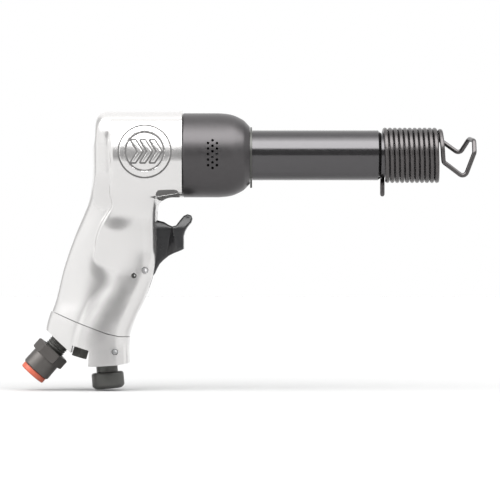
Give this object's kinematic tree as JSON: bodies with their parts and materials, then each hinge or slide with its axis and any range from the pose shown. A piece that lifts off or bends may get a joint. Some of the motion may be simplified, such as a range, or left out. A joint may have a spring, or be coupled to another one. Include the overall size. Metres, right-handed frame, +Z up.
{
  "type": "pneumatic air hammer",
  "caption": "Pistol-grip pneumatic hammer: polished cast handle, dark steel barrel, turning exhaust deflector and a coiled wire tool retainer.",
  "frame": {"origin": "centre of the tool shank bore at the barrel's muzzle face", "axes": "+X out of the muzzle along the barrel, +Z up, grip hanging down; the near side with the exhaust holes is -Y"},
  "size_m": [0.2899, 0.0538, 0.1776],
  "materials": {
    "polished_casting": "polished aluminium casting with a soft hand-buffed surface",
    "black_barrel": "black oxide steel, ground and oiled",
    "ground_steel": "ground bright steel",
    "black_steel": "black oxide steel",
    "satin_deflector": "dark grey satin, bead blasted",
    "spring_wire": "oil-tempered spring wire, dark satin",
    "black_plastic": "moulded black nylon",
    "red_plastic": "moulded orange-red polyethylene",
    "dark_fitting": "dark phosphated steel",
    "rubber": "black nitrile rubber",
    "brass": "turned brass"
  },
  "bodies": {
    "housing": {"handle": "polished_casting", "barrel": "black_barrel", "valve_seat_plate": "ground_steel", "valve_case": "ground_steel", "valve_dowel_pins": "ground_steel", "barrel_lock_screw": "black_steel", "deflector_front_seal": "rubber", "deflector_rear_seal": "rubber", "deflector_retaining_ring": "black_steel", "retainer_coil": "spring_wire", "trigger_pivot_pin": "ground_steel", "trigger_stop_pin": "black_steel", "throttle_bushing": "brass", "throttle_spring": "ground_steel", "passage_plug": "black_steel", "regulator_pin": "ground_steel", "inlet_fitting": "dark_fitting", "inlet_screen": "brass"},
    "hammer_piston": {"piston": "ground_steel"},
    "cycle_valve": {"valve_disc": "ground_steel"},
    "deflector": {"exhaust_deflector": "satin_deflector"},
    "retainer_front": {"retainer_loop": "spring_wire"},
    "trigger_lever": {"trigger": "black_plastic"},
    "throttle": {"throttle_valve": "ground_steel", "throttle_seal": "rubber"},
    "flow_regulator": {"regulator": "black_steel", "regulator_o_ring": "rubber"},
    "cap": {"dust_cap": "red_plastic"}
  },
  "joints": [
    {"name": "trigger_pull", "type": "hinge", "parent": "housing", "child": "trigger_lever", "pos_m": [-0.1864, 0, -0.0735], "axis": [0, -1, 0], "range_deg": [0, 8], "stiffness_Nm_per_rad": 0.5, "springref_deg": -6.88},
    {"name": "throttle_slide", "type": "slide", "parent": "housing", "child": "throttle", "axis": [-1, 0, 0], "range_m": [0, 0.0028], "deforming": ["throttle_spring"]},
    {"name": "piston_stroke", "type": "slide", "parent": "housing", "child": "hammer_piston", "axis": [1, 0, 0], "range_m": [0, 0.089]},
    {"name": "cycle_valve_shift", "type": "slide", "parent": "housing", "child": "cycle_valve", "axis": [1, 0, 0], "range_m": [0, 0.0022]},
    {"name": "deflector_turn", "type": "hinge", "parent": "housing", "child": "deflector", "pos_m": [-0.14, 0, 0], "axis": [1, 0, 0], "continuous": true},
    {"name": "retainer_loop_flex", "type": "hinge", "parent": "housing", "child": "retainer_front", "pos_m": [0.002, 0, 0.006], "axis": [0, -1, 0], "range_deg": [0, 12], "stiffness_Nm_per_rad": 1},
    {"name": "regulator_turn", "type": "hinge", "parent": "housing", "child": "flow_regulator", "pos_m": [-0.21134, 0, -0.1345], "axis": [-0.0872, 0, 0.9962], "range_deg": [0, 180]},
    {"name": "dust_cap_pull", "type": "slide", "parent": "housing", "child": "cap", "axis": [-0.6652, 0, -0.7466], "range_m": [0, 0.05]}
  ],
  "couplings": [
    {"joint": "throttle_slide", "follows": "trigger_pull", "m_per_rad": 0.01948}
  ]
}
